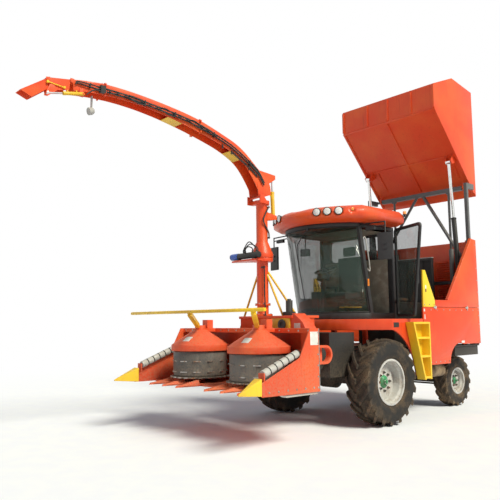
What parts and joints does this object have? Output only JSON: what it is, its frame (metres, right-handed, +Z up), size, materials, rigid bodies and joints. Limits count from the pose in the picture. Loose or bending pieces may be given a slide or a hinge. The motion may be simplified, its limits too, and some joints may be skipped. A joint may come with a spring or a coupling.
{
  "type": "self-propelled corn harvester",
  "caption": "Self-propelled corn harvester with a raised drum header, swivelling discharge chute, cab, steered rear axle and a raised tipping crop tank.",
  "frame": {"origin": "on the ground under the middle of the front axle", "axes": "+X to the machine's left, +Y to its rear, +Z up; it drives towards -Y"},
  "size_m": [3.0729, 8.477, 6.15],
  "materials": {
    "orange_paint": "glossy",
    "yellow_paint": "glossy",
    "black_paint": "satin",
    "grey_paint": "satin",
    "rim_paint": "satin",
    "rubber_tyre": "matt",
    "cast_steel": "matt",
    "rod_chrome": "polished",
    "lamp_lens": "clear",
    "amber_lens": "clear",
    "hose_rubber": "matt",
    "clear_glass": "clear",
    "seat_cloth": "woven",
    "black_plastic": "matt",
    "tank_brown": "satin"
  },
  "bodies": {
    "root": {"chassis_frame": "black_paint", "axles": "black_paint", "side_panels": "orange_paint", "yellow_gussets": "yellow_paint", "rear_wall": "orange_paint", "radiator_screen": "black_paint", "engine_block": "cast_steel", "rear_mudguards": "black_paint", "fuel_tank": "tank_brown", "platform": "orange_paint", "ladder": "yellow_paint", "cab_frame": "black_paint", "cab_glass": "clear_glass", "cab_roof": "orange_paint", "roof_lamps": "lamp_lens", "marker_lamps": "amber_lens", "mirrors": "black_plastic", "seat_and_wheel": "seat_cloth", "mast_guides": "grey_paint", "chopper_housing": "orange_paint", "chute_post": "orange_paint", "post_struts": "yellow_paint", "feed_motor": "black_paint"},
    "wheel_front_left": {"tyre_front_left": "rubber_tyre", "rim_front_left": "rim_paint"},
    "wheel_front_right": {"tyre_front_right": "rubber_tyre", "rim_front_right": "rim_paint"},
    "wheel_rear_left": {"tyre_rear_left": "rubber_tyre", "rim_rear_left": "rim_paint"},
    "wheel_rear_right": {"tyre_rear_right": "rubber_tyre", "rim_rear_right": "rim_paint"},
    "knuckle_left": {"knuckle_left": "cast_steel"},
    "knuckle_right": {"knuckle_right": "cast_steel"},
    "tie_rod": {"tie_rod": "cast_steel"},
    "header": {"header_frame": "orange_paint", "divider_tips": "yellow_paint", "side_rollers": "rim_paint", "drum_caps": "orange_paint", "push_bar": "yellow_paint", "row_guards": "orange_paint"},
    "drum_left": {"drum_left": "grey_paint"},
    "drum_right": {"drum_right": "grey_paint"},
    "header_barrels": {"header_barrels": "black_paint"},
    "header_rods": {"header_rods": "rod_chrome"},
    "slew_tube": {"slew_tube": "orange_paint", "tube_hose": "hose_rubber"},
    "chute": {"chute": "orange_paint", "chute_fittings": "hose_rubber"},
    "flap_inner": {"flap_inner": "orange_paint"},
    "flap_outer": {"flap_outer": "orange_paint"},
    "flap_barrel": {"flap_barrel": "yellow_paint"},
    "flap_rod": {"flap_rod": "rod_chrome"},
    "chute_barrel": {"chute_barrel": "yellow_paint"},
    "chute_rod": {"chute_rod": "rod_chrome"},
    "cab_door": {"door_frame": "black_paint", "door_glass": "clear_glass"},
    "lift_frame": {"lift_frame": "grey_paint"},
    "tank": {"tank": "orange_paint"},
    "tip_barrels": {"tip_barrels": "black_paint"},
    "tip_rods": {"tip_rods": "rod_chrome"}
  },
  "joints": [
    {"name": "front_left_spin", "type": "hinge", "parent": "root", "child": "wheel_front_left", "pos_m": [1.034, 0, 0.65], "axis": [1, 0, 0], "continuous": true},
    {"name": "front_right_spin", "type": "hinge", "parent": "root", "child": "wheel_front_right", "pos_m": [-1.034, 0, 0.65], "axis": [1, 0, 0], "continuous": true},
    {"name": "steer_left", "type": "hinge", "parent": "root", "child": "knuckle_left", "pos_m": [0.46, 2.72, 0.455], "axis": [0, 0, 1], "range_deg": [-30, 30]},
    {"name": "steer_right", "type": "hinge", "parent": "root", "child": "knuckle_right", "pos_m": [-0.46, 2.72, 0.455], "axis": [0, 0, 1], "range_deg": [-30, 30]},
    {"name": "tie_rod_shift", "type": "slide", "parent": "root", "child": "tie_rod", "axis": [1, 0, 0], "range_m": [-0.081, 0.081]},
    {"name": "rear_left_spin", "type": "hinge", "parent": "knuckle_left", "child": "wheel_rear_left", "pos_m": [0.65, 2.72, 0.455], "axis": [1, 0, 0], "continuous": true},
    {"name": "rear_right_spin", "type": "hinge", "parent": "knuckle_right", "child": "wheel_rear_right", "pos_m": [-0.65, 2.72, 0.455], "axis": [1, 0, 0], "continuous": true},
    {"name": "header_lift", "type": "hinge", "parent": "root", "child": "header", "pos_m": [0, -1.18, 1.15], "axis": [1, 0, 0], "range_deg": [0, 20]},
    {"name": "drum_left_spin", "type": "hinge", "parent": "header", "child": "drum_left", "pos_m": [0.65, -2.2, 1], "axis": [0, 0, 1], "continuous": true},
    {"name": "drum_right_spin", "type": "hinge", "parent": "header", "child": "drum_right", "pos_m": [-0.65, -2.2, 1], "axis": [0, 0, 1], "continuous": true},
    {"name": "header_barrel_tilt", "type": "hinge", "parent": "root", "child": "header_barrels", "pos_m": [0, -1.07, 0.91], "axis": [1, 0, 0], "range_deg": [0, 20]},
    {"name": "header_rod_slide", "type": "slide", "parent": "header_barrels", "child": "header_rods", "axis": [0, -0.9681, -0.2504], "range_m": [-0.1, 0]},
    {"name": "chute_slew", "type": "hinge", "parent": "root", "child": "slew_tube", "pos_m": [-0.15, -1.366, 2.56], "axis": [0, 0, 1], "range_deg": [-110, 110]},
    {"name": "chute_lift", "type": "hinge", "parent": "slew_tube", "child": "chute", "pos_m": [-0.15, -1.496, 3.5], "axis": [-1, 0, 0], "range_deg": [-20, 6]},
    {"name": "chute_barrel_tilt", "type": "hinge", "parent": "slew_tube", "child": "chute_barrel", "pos_m": [-0.15, -1.116, 3.22], "axis": [-1, 0, 0], "range_deg": [-12, 4]},
    {"name": "chute_rod_slide", "type": "slide", "parent": "chute_barrel", "child": "chute_rod", "axis": [0, -0.0369, 0.9993], "range_m": [-0.05, 0.13]},
    {"name": "flap_inner_swing", "type": "hinge", "parent": "chute", "child": "flap_inner", "pos_m": [-0.15, -4.636, 4.558], "axis": [1, 0, 0], "range_deg": [-8, 30]},
    {"name": "flap_outer_swing", "type": "hinge", "parent": "flap_inner", "child": "flap_outer", "pos_m": [-0.15, -4.94, 4.499], "axis": [1, 0, 0], "range_deg": [-8, 30]},
    {"name": "flap_barrel_tilt", "type": "hinge", "parent": "chute", "child": "flap_barrel", "pos_m": [-0.15, -4.511, 4.388], "axis": [1, 0, 0], "range_deg": [-8, 28]},
    {"name": "flap_rod_slide", "type": "slide", "parent": "flap_barrel", "child": "flap_rod", "axis": [0, -0.9784, -0.2067], "range_m": [-0.116, 0.038]},
    {"name": "cab_door_swing", "type": "hinge", "parent": "root", "child": "cab_door", "pos_m": [0.824, 0.76, 2.3], "axis": [0, 0, 1], "range_deg": [-65, 20]},
    {"name": "tank_lift", "type": "slide", "parent": "root", "child": "lift_frame", "axis": [0, 0, 1], "range_m": [-0.95, 0]},
    {"name": "tank_tip", "type": "hinge", "parent": "lift_frame", "child": "tank", "pos_m": [0, 2.946, 4.1], "axis": [1, 0, 0], "range_deg": [0, 90]},
    {"name": "tip_barrel_tilt", "type": "hinge", "parent": "lift_frame", "child": "tip_barrels", "pos_m": [0, 2.655, 2.3], "axis": [1, 0, 0], "range_deg": [0, 3]},
    {"name": "tip_rod_slide", "type": "slide", "parent": "tip_barrels", "child": "tip_rods", "axis": [0, -0.0805, 0.9968], "range_m": [-0.91, 0]}
  ],
  "couplings": [
    {"joint": "steer_right", "follows": "steer_left", "ratio": 1},
    {"joint": "tie_rod_shift", "follows": "steer_left", "m_per_rad": -0.1528},
    {"joint": "drum_right_spin", "follows": "drum_left_spin", "ratio": -1},
    {"joint": "header_barrel_tilt", "follows": "header_lift", "ratio": 1},
    {"joint": "header_rod_slide", "follows": "header_lift", "m_per_rad": -0.2627},
    {"joint": "chute_barrel_tilt", "follows": "chute_lift", "ratio": 0.54},
    {"joint": "chute_rod_slide", "follows": "chute_lift", "m_per_rad": -0.3438},
    {"joint": "flap_outer_swing", "follows": "flap_inner_swing", "ratio": 1},
    {"joint": "flap_barrel_tilt", "follows": "flap_inner_swing", "ratio": 0.875},
    {"joint": "flap_rod_slide", "follows": "flap_inner_swing", "m_per_rad": -0.2026},
    {"joint": "tip_barrel_tilt", "follows": "tank_tip", "ratio": 0.0151},
    {"joint": "tip_rod_slide", "follows": "tank_tip", "m_per_rad": -0.5737}
  ]
}
